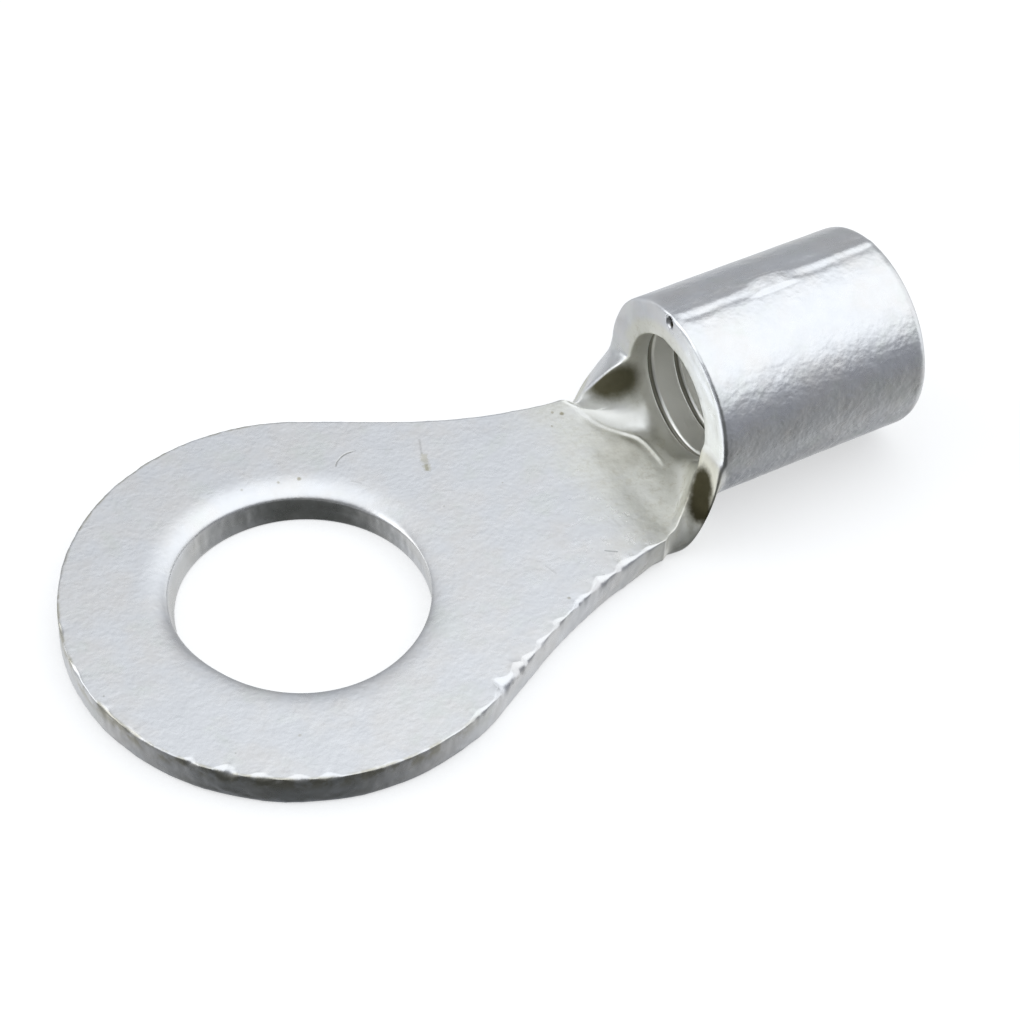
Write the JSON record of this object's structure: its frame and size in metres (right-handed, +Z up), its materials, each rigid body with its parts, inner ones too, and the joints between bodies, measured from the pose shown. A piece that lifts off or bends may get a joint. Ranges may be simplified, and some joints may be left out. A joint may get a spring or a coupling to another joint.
{
  "type": "ring terminal",
  "caption": "Bare tin-plated copper ring terminal: a flat ring tongue for a stud, folded up into a brazed-seam barrel that is crimped on a stripped wire",
  "frame": {"origin": "centre of the stud hole, on the underside of the tongue", "axes": "+X from the stud hole to the wire barrel, along the barrel; +Z up out of the tongue, the side that the barrel stands on; +Y completes a right-handed frame"},
  "size_m": [0.0289, 0.015, 0.007],
  "materials": {
    "tinned_copper": "satin tin plate, lightly mottled, on copper sheet"
  },
  "bodies": {
    "root": {"terminal_body": "tinned_copper"}
  },
  "joints": []
}
